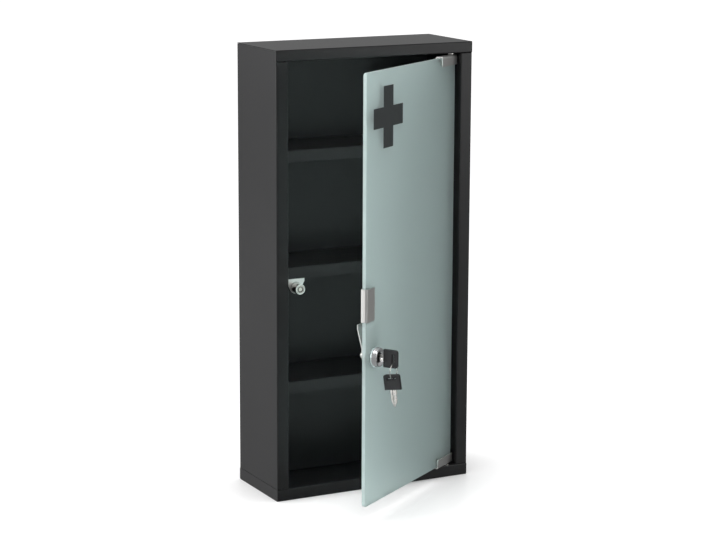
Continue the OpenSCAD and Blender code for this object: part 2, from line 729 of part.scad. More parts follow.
module key_head() color("#1c1c1e") {
    half_w = key_head_w / 2;
    half_t = key_head_t / 2;
    c = key_chamfer;
    difference() {
        translate([0, 0, -half_t]) linear_extrude(key_head_t) {
            translate([0, -half_w]) square([key_head_l - key_corner_r, key_head_w]);
            translate([0, key_corner_r - half_w]) square([key_head_l, key_head_w - 2 * key_corner_r]);
            for (side = [-1, 1])
                translate([key_head_l - key_corner_r, side * (half_w - key_corner_r)]) circle(key_corner_r);
        }
        box_slot(0);
        for (side = [-1, 1]) {
            hull() {
                translate([0, 0, side * (half_t - c)]) box_slot(0, sliver);
                translate([0, 0, side * (half_t + sliver / 2)]) box_slot(c, sliver);
            }
            for (edge = [-1, 1])
                translate([-cut, edge * half_w, side * half_t]) rotate([45, 0, 0])
                    translate([0, -c / sqrt(2), -c / sqrt(2)])
                        cube([key_head_l + 2 * cut, c * sqrt(2), c * sqrt(2)]);
        }
        block([-cut, -blade_w / 2 - pivot_clear, -blade_t / 2 - pivot_clear],
            [tang_l + pivot_clear, blade_w / 2 + pivot_clear, blade_t / 2 + pivot_clear]);
    }
}

// The slot that the ring passes through, grown by a margin
module box_slot(margin, h = key_head_t + 2 * cut)
    translate([key_slot_at, 0, -h / 2])
        box_across(key_slot_w + 2 * margin, key_slot_l + 2 * margin, h);

module key_1_place() on_door() at_lock(shoulder_w) rotate([0, -90, 0]) children();
module key_1_blade() key_1_place() key_blade();
module key_1_head() key_1_place() key_head();

module key_ring() color("#d8d8d6") on_door() at_lock(shoulder_w + key_slot_at)
    translate([0, ring_mid_y, 0]) rotate_extrude($fn = 96)
        translate([ring_r, 0]) circle(d = ring_wire_d, $fn = 24);

module key_2_place() on_door() at_lock(shoulder_w + key_slot_at)
    translate([0, ring_mid_y - ring_r, 0]) rotate([-90 - key_2_tilt, 0, 0]) rotate([0, -90, 0])
        translate([-wire_at, key_2_offset, 0]) children();
module key_2_blade() key_2_place() key_blade();
module key_2_head() key_2_place() key_head();

top_cap();
bottom_tray();
left_side_panel();
right_side_panel();
back_panel();
upper_shelf();
middle_shelf();
lower_shelf();
upper_pivot_bush();
lower_pivot_bush();
catch_bracket();
catch_cup();
catch_magnet();
catch_nut();
glass_pane();
cross_print();
upper_hinge_clamp();
lower_hinge_clamp();
upper_hinge_pads();
lower_hinge_pads();
hinge_grub_screws();
upper_pivot_pin();
lower_pivot_pin();
handle_clip();
handle_pads();
lock_housing();
lock_gaskets();
lock_nut();
lock_plug();
lock_wafers();
lock_cam();
cam_washer();
cam_screw();
key_1_blade();
key_1_head();
key_ring();
key_2_blade();
key_2_head();
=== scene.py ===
import math

import bmesh
import bpy
from mathutils import Matrix, Vector


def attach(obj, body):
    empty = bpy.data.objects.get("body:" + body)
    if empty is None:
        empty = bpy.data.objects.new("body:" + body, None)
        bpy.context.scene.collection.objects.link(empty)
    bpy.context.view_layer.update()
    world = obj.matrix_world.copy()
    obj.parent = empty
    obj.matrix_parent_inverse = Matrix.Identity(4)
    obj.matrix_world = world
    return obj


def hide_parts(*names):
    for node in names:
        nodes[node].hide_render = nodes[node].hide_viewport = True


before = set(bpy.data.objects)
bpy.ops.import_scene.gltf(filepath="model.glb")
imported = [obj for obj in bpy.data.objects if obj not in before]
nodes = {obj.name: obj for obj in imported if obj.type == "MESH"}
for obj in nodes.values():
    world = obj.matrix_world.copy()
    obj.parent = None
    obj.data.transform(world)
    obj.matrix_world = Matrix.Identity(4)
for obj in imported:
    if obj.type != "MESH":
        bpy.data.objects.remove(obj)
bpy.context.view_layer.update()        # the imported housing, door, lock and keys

print("frame loaded,", len(nodes), "nodes")

# Every piece is drawn in millimetres, and settle() brings it to its place in metres
perMetre = 1000
mergeGap = 0.001         # points closer than this become one
overcut = 1              # how far a cutter runs past what it cuts
fineRound = 3            # steps of a rounded edge that shows from close by

cameraSetup = {
    "place": (-1355.2, -2609.6, 885.6),
    "yaw": 27.539,              # 0 looks along +Y, and positive turns towards +X
    "pitch": -11.437,
    "roll": 0.228,
    "focalPixels": 2212.7,
    "frameWidth": 716,
    "sensorWidth": 36,
    "clip": (0.1, 50),          # the nearest and farthest that it sees, in metres
}


def addCamera(setup):
    data = bpy.data.cameras.new("productCamera")
    data.sensor_fit = "HORIZONTAL"
    data.sensor_width = setup["sensorWidth"]
    data.lens = setup["focalPixels"] * data.sensor_width / setup["frameWidth"]
    data.clip_start, data.clip_end = setup["clip"]
    camera = bpy.data.objects.new("productCamera", data)
    bpy.context.scene.collection.objects.link(camera)
    yaw, pitch, roll = (math.radians(setup[k]) for k in ("yaw", "pitch", "roll"))
    forward = Vector((math.sin(yaw) * math.cos(pitch), math.cos(yaw) * math.cos(pitch),
                      math.sin(pitch)))
    level = forward.cross(Vector((0, 0, 1))).normalized()
    lift = level.cross(forward)
    right = level * math.cos(roll) + lift * math.sin(roll)
    up = lift * math.cos(roll) - level * math.sin(roll)
    turn = Matrix((right, up, -forward)).transposed().to_4x4()
    camera.matrix_world = Matrix.Translation(Vector(setup["place"]) / perMetre) @ turn
    bpy.context.scene.camera = camera
    print("camera set,", round(data.lens, 1), "mm lens")


addCamera(cameraSetup)


# Adds a node to a tree; an input may be a value or another node's output
def addNode(tree, kind, inputs=None, **settings):
    node = tree.nodes.new(kind)
    for key, value in settings.items():
        setattr(node, key, value)
    for key, value in (inputs or {}).items():
        if isinstance(value, bpy.types.NodeSocket):
            tree.links.new(value, node.inputs[key])
        else:
            node.inputs[key].default_value = value
    return node


def newFinish(name, colour, metallic=0.0, roughness=0.5, more=None):
    finish = bpy.data.materials.new(name)
    finish.use_nodes = True
    shader = finish.node_tree.nodes["Principled BSDF"]
    shader.inputs["Base Color"].default_value = (*colour, 1)
    shader.inputs["Metallic"].default_value = metallic
    shader.inputs["Roughness"].default_value = roughness
    for socket, value in (more or {}).items():
        shader.inputs[socket].default_value = value
    return finish, finish.node_tree, shader


# Object coordinates, stretched along one axis where a finish has a grain
def grainCoordinates(tree, stretch=(1, 1, 1)):
    place = addNode(tree, "ShaderNodeTexCoord").outputs["Object"]
    return addNode(tree, "ShaderNodeMapping", {"Vector": place, "Scale": stretch}).outputs[0]


softDetail, fineDetail = 2, 3        # how many layers a noise has
noiseSpread = (0.3, 0.7)             # nearly all of a noise lies between these


def noise(tree, vector, scale, detail=softDetail):
    return addNode(tree, "ShaderNodeTexNoise",
                   {"Vector": vector, "Scale": scale, "Detail": detail}).outputs["Fac"]


def between(tree, factor, low, high):
    return addNode(tree, "ShaderNodeMapRange",
                   {"Value": factor, "From Min": noiseSpread[0], "From Max": noiseSpread[1],
                    "To Min": low, "To Max": high}).outputs["Result"]


# Where a Mix node takes its two colours and gives its result
mixSockets = {"first": 6, "second": 7, "result": 2}


# Goes from one colour to another as the factor rises; each may also be a node's output
def mixColours(tree, factor, first, second):
    mix = addNode(tree, "ShaderNodeMix", data_type="RGBA")
    tree.links.new(factor, mix.inputs["Factor"])
    for place, colour in (("first", first), ("second", second)):
        socket = mix.inputs[mixSockets[place]]
        if isinstance(colour, bpy.types.NodeSocket):
            tree.links.new(colour, socket)
        else:
            socket.default_value = (*colour, 1)
    return mix.outputs[mixSockets["result"]]


def toned(colour, share):
    return tuple(part * share for part in colour)


def bump(tree, shader, height, strength, depth):
    relief = addNode(tree, "ShaderNodeBump", {"Height": height, "Strength": strength,
                                              "Distance": depth / perMetre})
    tree.links.new(relief.outputs["Normal"], shader.inputs["Normal"])


# In each finish grain, peel and relief are in millimetres, and clouds is how many there are to
# a metre. cloudTone is the share of the colour that the dark clouds keep.
powderCoat = {"dark": (0.018, 0.018, 0.019), "light": (0.023, 0.023, 0.024),
              "roughness": (0.28, 0.36), "gloss": 0.35, "grain": 0.7, "peel": 4.0, "clouds": 9,
              "relief": 0.02, "bump": 0.35}


def makePowderCoat(look):
    finish, tree, shader = newFinish("blackPowderCoat", look["dark"],
                                     more={"Specular IOR Level": look["gloss"]})
    place = grainCoordinates(tree)
    fine = noise(tree, place, perMetre / look["grain"], fineDetail)
    peel = noise(tree, place, perMetre / look["peel"])
    cloud = noise(tree, place, look["clouds"])
    colour = mixColours(tree, cloud, look["dark"], look["light"])
    tree.links.new(colour, shader.inputs["Base Color"])
    tree.links.new(between(tree, fine, *look["roughness"]), shader.inputs["Roughness"])
    height = addNode(tree, "ShaderNodeMath", {0: fine, 1: peel}, operation="ADD").outputs[0]
    bump(tree, shader, height, look["bump"], look["relief"])
    return finish


blackPowderCoat = makePowderCoat(powderCoat)

# A small number in stretch draws a metal's grain out into lines along that axis
metals = {
    "nickelPlate": {"colour": (0.86, 0.85, 0.81), "roughness": (0.14, 0.26), "grain": 2.0,
                    "stretch": (1, 1, 1), "relief": 0.004},
    "zincPlate": {"colour": (0.84, 0.84, 0.82), "roughness": (0.26, 0.42), "grain": 1.2,
                  "stretch": (1, 1, 1), "relief": 0.01},
    "chromePlate": {"colour": (0.82, 0.83, 0.84), "roughness": (0.18, 0.26), "grain": 6.0,
                    "stretch": (1, 1, 1), "relief": 0.002},
    "satinSteel": {"colour": (0.80, 0.795, 0.775), "roughness": (0.30, 0.46), "grain": 0.9,
                   "stretch": (1, 1, 0.03), "relief": 0.008},
    # The grub screws really are black; on the lock plug this near-black finish is painted keyhole
    # shade
    "blackScrewAndKeyholeShade": {"colour": (0.03, 0.03, 0.03), "roughness": (0.35, 0.5), "grain": 1.0,
                   "stretch": (1, 1, 1), "relief": 0.005},
    "sinteredMagnet": {"colour": (0.93, 0.91, 0.84), "roughness": (0.35, 0.5), "grain": 0.6,
                       "stretch": (1, 1, 1), "relief": 0.01},
    "waferBrass": {"colour": (0.68, 0.52, 0.24), "roughness": (0.25, 0.4), "grain": 0.8,
                   "stretch": (1, 1, 1), "relief": 0.006},
    "keyNickel": {"colour": (0.94, 0.93, 0.89), "roughness": (0.22, 0.34), "grain": 0.8,
                  "stretch": (1, 1, 0.1), "relief": 0.008},
    "stampedZinc": {"colour": (0.84, 0.84, 0.82), "roughness": (0.26, 0.42), "grain": 1.2,
                    "stretch": (1, 1, 1), "relief": 0.01, "broadShade": 0.38},
}
metalSurface = {"clouds": 60, "cloudTone": 0.88, "bump": 0.3}

# Painted shade: grooves and inner corners are painted darker than open faces, as the shade that
# falls in them. Of what lies within reach millimetres of a face, the open share decides: up to
# deepest it has the tone, and from shallowest it keeps its open colour.
recessShade = {"reach": 2.5, "deepest": 0.3, "shallowest": 0.85, "tone": 0.08, "samples": 8}


def makeMetal(name, look):
    finish, tree, shader = newFinish(name, look["colour"], metallic=1.0)
    place = grainCoordinates(tree, look["stretch"])
    fine = noise(tree, place, perMetre / look["grain"], fineDetail)
    cloud = noise(tree, place, metalSurface["clouds"])
    openColour = mixColours(tree, cloud, toned(look["colour"], metalSurface["cloudTone"]),
                       look["colour"])
    if "broadShade" in look:      # painted shade: the stamping's broad faces are darker than its cut edges, which catch more light
        broad = addNode(tree, "ShaderNodeAttribute", attribute_name="broad").outputs["Fac"]
        openColour = mixColours(tree, broad, openColour, toned(look["colour"], look["broadShade"]))
    # painted shade: the ambient occlusion darkens the colour in grooves and inner corners
    exposed = addNode(tree, "ShaderNodeAmbientOcclusion",
                      {"Distance": recessShade["reach"] / perMetre}, samples=recessShade["samples"])
    openShare = addNode(tree, "ShaderNodeMapRange",
                   {"Value": exposed.outputs["AO"], "From Min": recessShade["deepest"],
                    "From Max": recessShade["shallowest"]})
    shadedColour = mixColours(tree, openShare.outputs["Result"], toned(look["colour"], recessShade["tone"]), openColour)
    tree.links.new(shadedColour, shader.inputs["Base Color"])
    tree.links.new(between(tree, fine, *look["roughness"]), shader.inputs["Roughness"])
    bump(tree, shader, fine, metalSurface["bump"], look["relief"])
    return finish


(nickelPlate, zincPlate, chromePlate, satinSteel, blackScrewAndKeyholeShade, sinteredMagnet, waferBrass,
 keyNickel, stampedZinc) = (makeMetal(name, look) for name, look in metals.items())

# Plastics, rubber and print
plastics = {
    "keyPlastic": {"colour": (0.024, 0.024, 0.026), "roughness": (0.42, 0.58), "grain": 0.5,
                   "relief": 0.03},
    "blackRubber": {"colour": (0.018, 0.018, 0.018), "roughness": (0.6, 0.75), "grain": 0.8,
                    "relief": 0.02},
    "foamTape": {"colour": (0.03, 0.03, 0.03), "roughness": (0.8, 0.95), "grain": 0.35,
                 "relief": 0.06},
    "clearPad": {"colour": (0.62, 0.63, 0.60), "roughness": (0.3, 0.4), "grain": 3.0,
                 "relief": 0.005},
    "greyPrint": {"colour": (0.065, 0.076, 0.077), "roughness": (0.45, 0.55), "grain": 1.5,
                  "relief": 0.004},
}
plasticSurface = {"clouds": 40, "cloudTone": 0.85, "bump": 0.4}


def makePlastic(name, look):
    finish, tree, shader = newFinish(name, look["colour"])
    place = grainCoordinates(tree)
    fine = noise(tree, place, perMetre / look["grain"], fineDetail)
    cloud = noise(tree, place, plasticSurface["clouds"])
    colour = mixColours(tree, cloud, toned(look["colour"], plasticSurface["cloudTone"]),
                        look["colour"])
    tree.links.new(colour, shader.inputs["Base Color"])
    tree.links.new(between(tree, fine, *look["roughness"]), shader.inputs["Roughness"])
    bump(tree, shader, fine, plasticSurface["bump"], look["relief"])
    return finish


keyPlastic, blackRubber, foamTape, clearPad, greyPrint = (
    makePlastic(name, look) for name, look in plastics.items())

satinGlass = {"colour": (0.73, 0.82, 0.81), "roughness": (0.96, 1.0), "edgeRoughness": 0.3,
              "clear": 0.8, "index": 1.5, "grain": 0.25, "clouds": 14, "cloudTone": 0.96,
              "relief": 0.01, "bump": 0.2}


def makeFrostedGlass(look):
    finish, tree, shader = newFinish("frostedGlass", look["colour"],
                                     more={"Transmission Weight": look["clear"],
                                           "IOR": look["index"]})
    place = grainCoordinates(tree)
    etch = noise(tree, place, perMetre / look["grain"])
    cloud = noise(tree, place, look["clouds"])
    colour = mixColours(tree, cloud, toned(look["colour"], look["cloudTone"]), look["colour"])
    tree.links.new(colour, shader.inputs["Base Color"])
    polish = addNode(tree, "ShaderNodeAttribute", attribute_name="polished").outputs["Fac"]
    rough = addNode(tree, "ShaderNodeMix",
                    {"Factor": polish, "A": between(tree, etch, *look["roughness"]),
                     "B": look["edgeRoughness"]})
    tree.links.new(rough.outputs[0], shader.inputs["Roughness"])
    bump(tree, shader, etch, look["bump"], look["relief"])
    return finish


frostedGlass = makeFrostedGlass(satinGlass)
print("finishes made")


def newPiece(name, mesh):
    piece = bpy.data.objects.new(name, mesh)
    bpy.context.scene.collection.objects.link(piece)
    return piece


# Applies a piece's modifiers, so that only a plain mesh is left
def applyAll(piece):
    graph = bpy.context.evaluated_depsgraph_get()
    mesh = bpy.data.meshes.new_from_object(piece.evaluated_get(graph), depsgraph=graph)
    piece.modifiers.clear()
    old, piece.data = piece.data, mesh
    if old.users == 0 and isinstance(old, bpy.types.Mesh):
        bpy.data.meshes.remove(old)
    return piece


def pieceFrom(name, points, faces):
    mesh = bpy.data.meshes.new(name)
    mesh.from_pydata(points, [], faces)
    return newPiece(name, mesh)


# Makes the triangles of each flat face one face again, so that roundings run cleanly
def mergeFlats(piece, angle=0.2):
    work = bmesh.new()
    work.from_mesh(piece.data)
    bmesh.ops.remove_doubles(work, verts=work.verts, dist=mergeGap)
    bmesh.ops.dissolve_limit(work, angle_limit=math.radians(angle), verts=work.verts,
                             edges=work.edges)
    work.to_mesh(piece.data)
    work.free()
    return piece


# Joins a drawn shape's doubled points and turns its faces outwards
def closeUp(piece):
    work = bmesh.new()
    work.from_mesh(piece.data)
    bmesh.ops.remove_doubles(work, verts=work.verts, dist=mergeGap)
    bmesh.ops.recalc_face_normals(work, faces=work.faces)
    work.to_mesh(piece.data)
    work.free()
    return piece


# A millimetre copy of a CAD node, with its loose triangles joined
def copyOf(node, name):
    mesh = nodes[node].data.copy()
    mesh.transform(Matrix.Scale(perMetre, 4))
    mesh.materials.clear()
    return mergeFlats(newPiece(name, mesh))


def block(low, high):
    (x0, y0, z0), (x1, y1, z1) = low, high
    points = [(x, y, z) for x in (x0, x1) for y in (y0, y1) for z in (z0, z1)]
    return points, [(0, 1, 3, 2), (4, 6, 7, 5), (0, 4, 5, 1), (2, 3, 7, 6), (0, 2, 6, 4),
                    (1, 5, 7, 3)]


def rod(centre, axis, radius, low, high, steps=48):
    axis = Vector(axis).normalized()
    side = axis.orthogonal().normalized()
    points = []
    for end in (low, high):
        for k in range(steps):
            turn = Matrix.Rotation(2 * math.pi * k / steps, 3, axis)
            points.append(Vector(centre) + axis * end + turn @ side * radius)
    faces = [(k, (k + 1) % steps, steps + (k + 1) % steps, steps + k) for k in range(steps)]
    return points, faces + [tuple(range(steps))[::-1], tuple(range(steps, 2 * steps))]


# Cuts shapes out of a piece, or joins them to it
def combine(piece, shapes, operation="DIFFERENCE"):
    points, faces = [], []
    for shapePoints, shapeFaces in shapes:
        first = len(points)
        points += shapePoints
        faces += [tuple(i + first for i in face) for face in shapeFaces]
    tool = pieceFrom("tool", points, faces)
    step = piece.modifiers.new("combine", "BOOLEAN")
    step.operation, step.object, step.solver = operation, tool, "EXACT"
    step.use_self = True
    applyAll(piece)
    mesh = tool.data
    bpy.data.objects.remove(tool)
    bpy.data.meshes.remove(mesh)
    return mergeFlats(piece)


# shortEdge and tightReach are in widths of the rounding. A face corner below foldedAngle, in
# radians, means that the rounding has folded the face back on itself.
rounding = {"fromAngle": 35, "profile": 0.5, "shortEdge": 1.8, "tightReach": 2.5,
            "foldedAngle": 0.3, "tries": 5, "clearPasses": 3}


def isSharp(edge):
    return edge.is_manifold and edge.calc_face_angle(0) > math.radians(rounding["fromAngle"])


# A sharp edge too short to be rounded is drawn into the corner of the shape where it ends
def clearShortEdges(work, shortest):
    for _ in range(rounding["clearPasses"]):
        sharp = [edge for edge in work.edges if isSharp(edge)]
        count = {}
        for edge in sharp:
            for v in edge.verts:
                count[v] = count.get(v, 0) + 1
        joined = {}
        for edge in sharp:       # two sharp edges meet at a smooth point, and more at a corner
            smooth, corner = sorted(edge.verts, key=lambda v: count[v])
            if edge.calc_length() < shortest and count[smooth] == 2 and count[corner] > 2:
                isTaken = smooth in joined or corner in joined or smooth in joined.values()
                if not isTaken:
                    joined[smooth] = corner
        if not joined:
            return
        bmesh.ops.weld_verts(work, targetmap=joined)


# Rounds the sharp edges. Where the rounding folds a face back on itself, the edges near that
# point are left sharp and the rounding is done again.
def roundEdges(piece, width, steps=2):
    tight = []
    for attempt in range(rounding["tries"]):
        work = bmesh.new()
        work.from_mesh(piece.data)
        clearShortEdges(work, rounding["shortEdge"] * width)
        reach = rounding["tightReach"] * width
        sharp = [edge for edge in work.edges if isSharp(edge)]
        cramped = {v for edge in sharp for v in edge.verts
                   if any((v.co - point).length < reach for point in tight)}
        edges = [edge for edge in sharp if not cramped.intersection(edge.verts)]
        bmesh.ops.bevel(work, geom=edges, offset=width, segments=steps,
                        profile=rounding["profile"], affect="EDGES", clamp_overlap=False)
        folded = [corner.vert.co.copy() for face in work.faces for corner in face.loops
                  if corner.calc_angle() < rounding["foldedAngle"]]
        if not folded or attempt == rounding["tries"] - 1:
            work.to_mesh(piece.data)
            work.free()
            return piece
        tight += folded
        work.free()


# Smooth shading that keeps the flats flat, then the piece's place, size, finish and body
def settle(piece, body, finish, replaced, place=Matrix(), sharpAngle=40):
    mesh = piece.data
    for face in mesh.polygons:
        face.use_smooth = True
    mesh.set_sharp_from_angle(angle=math.radians(sharpAngle))
    weighted = piece.modifiers.new("weighted", "WEIGHTED_NORMAL")
    weighted.keep_sharp = True
    applyAll(piece)
    piece.data.transform(Matrix.Scale(1 / perMetre, 4) @ place)
    piece.data.materials.clear()
    piece.data.materials.append(finish)
    piece.data.name = piece.name
    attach(piece, body)
    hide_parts(replaced)
    return piece


# A CAD node's shape with its edges rounded and shaded
def dress(node, name, body, finish, edge, steps=2):
    piece = copyOf(node, name)
    if edge:
        roundEdges(piece, edge, steps)
    return settle(piece, body, finish, node)


# The tree sweeps a strip of sheet along a bent path. The path lies in the XY plane, and the
# strip's length runs along Z on both sides of it.
def foldingTree():
    tree = bpy.data.node_groups.new("foldedSheet", "GeometryNodeTree")
    face = tree.interface
    for label, kind in (("Path", "Geometry"), ("Sheet Thickness", "Float"), ("Length", "Float"),
                        ("Middle Radius", "Float"), ("Bend Steps", "Int"),
                        ("Finish", "Material")):
        face.new_socket(label, in_out="INPUT", socket_type="NodeSocket" + kind)
    face.new_socket("Sheet", in_out="OUTPUT", socket_type="NodeSocketGeometry")
    given = tree.nodes.new("NodeGroupInput").outputs
    path = addNode(tree, "GeometryNodeMeshToCurve", {"Mesh": given["Path"]})
    bent = addNode(tree, "GeometryNodeFilletCurve", {"Curve": path.outputs[0]}, mode="POLY")
    tree.links.new(given["Middle Radius"], bent.inputs["Radius"])
    tree.links.new(given["Bend Steps"], bent.inputs["Count"])
    level = addNode(tree, "GeometryNodeSetCurveNormal", {"Curve": bent.outputs[0]}, mode="Z_UP")
    strip = addNode(tree, "GeometryNodeCurvePrimitiveQuadrilateral",
                    {"Width": given["Sheet Thickness"], "Height": given["Length"]},
                    mode="RECTANGLE")
    swept = addNode(tree, "GeometryNodeCurveToMesh",
                    {"Curve": level.outputs[0], "Profile Curve": strip.outputs[0],
                     "Fill Caps": True})
    real = addNode(tree, "GeometryNodeRealizeInstances", {"Geometry": swept.outputs[0]})
    coated = addNode(tree, "GeometryNodeSetMaterial",
                     {"Geometry": real.outputs[0], "Material": given["Finish"]})
    out = tree.nodes.new("NodeGroupOutput")
    tree.links.new(coated.outputs[0], out.inputs["Sheet"])
    return tree


# Sets a tree's inputs by the names that its sockets carry
def useTree(piece, tree, values):
    step = piece.modifiers.new(tree.name, "NODES")
    step.node_group = tree
    for item in tree.interface.items_tree:
        if item.in_out == "INPUT" and item.name in values:
            step[item.identifier] = values[item.name]
    return applyAll(piece)


foldedSheet = foldingTree()
# Where a section's two axes and the strip's length point, by the direction of the strip
sweepAxes = {"X": ((0, 1, 0), (0, 0, 1), (1, 0, 0)),
             "Y": ((1, 0, 0), (0, 0, 1), (0, -1, 0)),
             "Z": ((1, 0, 0), (0, 1, 0), (0, 0, 1))}


def fold(name, direction, path, low, high, thickness, innerRadius, finish, steps=8):
    mesh = bpy.data.meshes.new(name)
    mesh.from_pydata([(a, b, 0) for a, b in path], [(i, i + 1) for i in range(len(path) - 1)], [])
    piece = newPiece(name, mesh)
    useTree(piece, foldedSheet, {"Sheet Thickness": thickness, "Length": high - low,
                                 "Middle Radius": innerRadius + thickness / 2,
                                 "Bend Steps": steps, "Finish": finish})
    axes = Matrix([Vector(axis) for axis in sweepAxes[direction]]).transposed().to_4x4()
    middle = Vector([float(axis == direction) for axis in "XYZ"]) * (low + high) / 2
    piece.data.transform(Matrix.Translation(middle) @ axes)
    return mergeFlats(closeUp(piece))


# The housing is folded from sheet, and the seam is the open gap between a side panel and the
# tray or the cap
housing = {"width": 290, "height": 600, "depth": 120, "sheet": 1, "bendRadius": 0.6,
           "stile": 17.5, "topRail": 15, "bottomRail": 16, "stileReturn": 21, "railReturn": 14,
           "backFlange": 14, "weldFlange": 12, "panelClearance": 0.1, "edgeRound": 0.12,
           "seam": 0.6, "wallHole": 7, "wallHoleSpan": 200, "wallHoleLow": 60,
           "wallHoleRise": 480}
hinges = {"fromGlassSide": 10, "bushHole": 7.1}
door = {"gap": 4, "sideGap": 3, "inset": 3, "glass": 5, "restAngle": 34}

sheet = housing["sheet"]
frontY, backY = -housing["depth"] / 2, housing["depth"] / 2
innerBackY = backY - 2 * sheet
sideX = housing["width"] / 2
insideX = sideX - sheet
openingX = sideX - housing["stile"]
topZ = housing["height"]
railZ = topZ - housing["topRail"]
trayZ = housing["bottomRail"]
glassFront = frontY + door["inset"]
glassMid = glassFront + door["glass"] / 2
glassLeft, glassRight = -openingX + door["sideGap"], openingX - door["sideGap"]
glassLow, glassHigh = trayZ + door["gap"], railZ - door["gap"]
pivotX = glassRight - hinges["fromGlassSide"]


def foldHousing(name, direction, path, low, high):
    return fold(name, direction, path, low, high, sheet, housing["bendRadius"], blackPowderCoat)


def coat(piece, node):
    roundEdges(piece, housing["edgeRound"])
    settle(piece, "cabinet", blackPowderCoat, node)


def bushHole(z):
    return rod((pivotX, glassMid, z), (0, 0, 1), hinges["bushHole"] / 2, -overcut,
               sheet + overcut)


def makeTopCap():
    plate, rail, lip = topZ - sheet / 2, frontY + sheet / 2, railZ + sheet / 2
    rear = backY - sheet / 2
    cap = foldHousing("topCap", "X", [(rear, topZ - housing["backFlange"]), (rear, plate),
                                      (rail, plate), (rail, lip),
                                      (frontY + housing["railReturn"], lip)], -sideX, sideX)
    behind = sideX - housing["backFlange"] - housing["panelClearance"]
    bend = sheet + housing["bendRadius"]
    cuts = [bushHole(railZ)]
    for s in (-1, 1):            # room for the side panels and for their rear flanges
        for near, front in ((insideX, frontY + sheet), (behind, backY - bend)):
            x = sorted((s * near, s * (sideX + overcut)))
            cuts.append(block((x[0], front, railZ - overcut),
                              (x[1], backY + overcut, topZ - sheet)))
    combine(cap, cuts)
    # The weld flanges stand inside the side panels
    tabs = [block((x, frontY + sheet, topZ - sheet - housing["weldFlange"]),
                  (x + sheet, innerBackY - sheet, topZ - sheet / 2))
            for x in (-insideX, insideX - sheet)]
    combine(cap, tabs, "UNION")
    coat(cap, "top_cap")


def makeBottomTray():
    plate, rail, lip = sheet / 2, frontY + sheet / 2, trayZ - sheet / 2
    side = sideX - sheet / 2
    rear = backY - sheet / 2
    tray = foldHousing("bottomTray", "X", [(rear, trayZ), (rear, plate), (rail, plate),
                                           (rail, lip), (frontY + housing["railReturn"], lip)],
                       -sideX, sideX)
    notch = insideX - sheet - housing["panelClearance"]
    cuts = [bushHole(trayZ - sheet)]
    # The lip ends short of the side panels' weld flanges
    for x in ((-sideX - overcut, -notch), (notch, sideX + overcut)):
        cuts.append(block((x[0], frontY + sheet, trayZ - sheet - overcut),
                          (x[1], frontY + housing["railReturn"] + overcut, trayZ + overcut)))
    combine(tray, cuts)
    # The two side walls are folded as one channel and joined to the tray
    upstands = foldHousing("upstands", "Y", [(-side, trayZ), (-side, plate), (side, plate),
                                             (side, trayZ)], frontY + sheet / 2, backY)
    combine(tray, [([v.co.copy() for v in upstands.data.vertices],
                    [tuple(p.vertices) for p in upstands.data.polygons])], "UNION")
    bpy.data.objects.remove(upstands)
    coat(tray, "bottom_tray")


# The hand is -1 for the left panel and 1 for the right one
def makeSidePanel(hand, name, node):
    side, inner = hand * (sideX - sheet / 2), hand * insideX
    flange, opening = hand * (sideX - housing["backFlange"]), hand * (openingX + sheet / 2)
    panel = foldHousing(name, "Z", [(flange, backY - sheet / 2), (side, backY - sheet / 2),
                                    (side, frontY + sheet / 2), (opening, frontY + sheet / 2),
                                    (opening, frontY + housing["stileReturn"])],
                        trayZ + housing["seam"], topZ - sheet - housing["seam"])
    near, far = hand * (openingX - overcut), hand * (sideX + overcut)
    stileTop = railZ - housing["seam"]       # the cap's rail is above it
    cuts = [block((min(near, far), frontY - overcut, stileTop),
                  (max(near, far), frontY + sheet, topZ)),
            block((min(near, inner), frontY - overcut, stileTop),
                  (max(near, inner), frontY + housing["stileReturn"] + overcut, topZ))]
    combine(panel, cuts)
    low = sheet + housing["bendRadius"]
    tabX = sorted((hand * (insideX - sheet), inner))
    # The weld flange reaches down into the tray
    tab = block((tabX[0], frontY + low, low),
                (tabX[1], innerBackY - sheet, trayZ + housing["weldFlange"]))
    combine(panel, [tab], "UNION")
    coat(panel, node)


def makeBackPanel():
    half = insideX - sheet - housing["panelClearance"]
    plate, edge = innerBackY + sheet / 2, sheet + housing["bendRadius"]
    back = foldHousing("backPanel", "X", [(plate, edge), (plate, topZ - edge)], -half, half)
    holes = [rod((s * housing["wallHoleSpan"] / 2, backY,
                  housing["wallHoleLow"] + r * housing["wallHoleRise"]),
                 (0, 1, 0), housing["wallHole"] / 2, -2 * sheet - overcut, overcut)
             for s in (-1, 1) for r in (0, 1)]
    combine(back, holes)
    coat(back, "back_panel")


shelves = {"pitch": 155.5, "setback": 24, "lip": 16, "flange": 12}
shelfY = frontY + shelves["setback"]


def makeShelf(number, level):
    top = number * shelves["pitch"] - sheet / 2
    rear = innerBackY - sheet / 2
    lipY = shelfY + sheet / 2
    shelf = foldHousing(level + "Shelf", "X",
                        [(lipY, number * shelves["pitch"] - shelves["lip"]), (lipY, top),
                         (rear, top), (rear, top - shelves["flange"])], -insideX, insideX)
    sides = [block((x, shelfY + 2 * sheet, top - shelves["flange"]), (x + sheet, rear, top))
             for x in (-insideX, insideX - sheet)]
    combine(shelf, sides, "UNION")
    coat(shelf, level + "_shelf")


makeTopCap()
makeBottomTray()
makeSidePanel(-1, "leftSidePanel", "left_side_panel")
makeSidePanel(1, "rightSidePanel", "right_side_panel")
makeBackPanel()
for number, level in enumerate(("lower", "middle", "upper"), 1):
    makeShelf(number, level)
print("housing folded and coated")


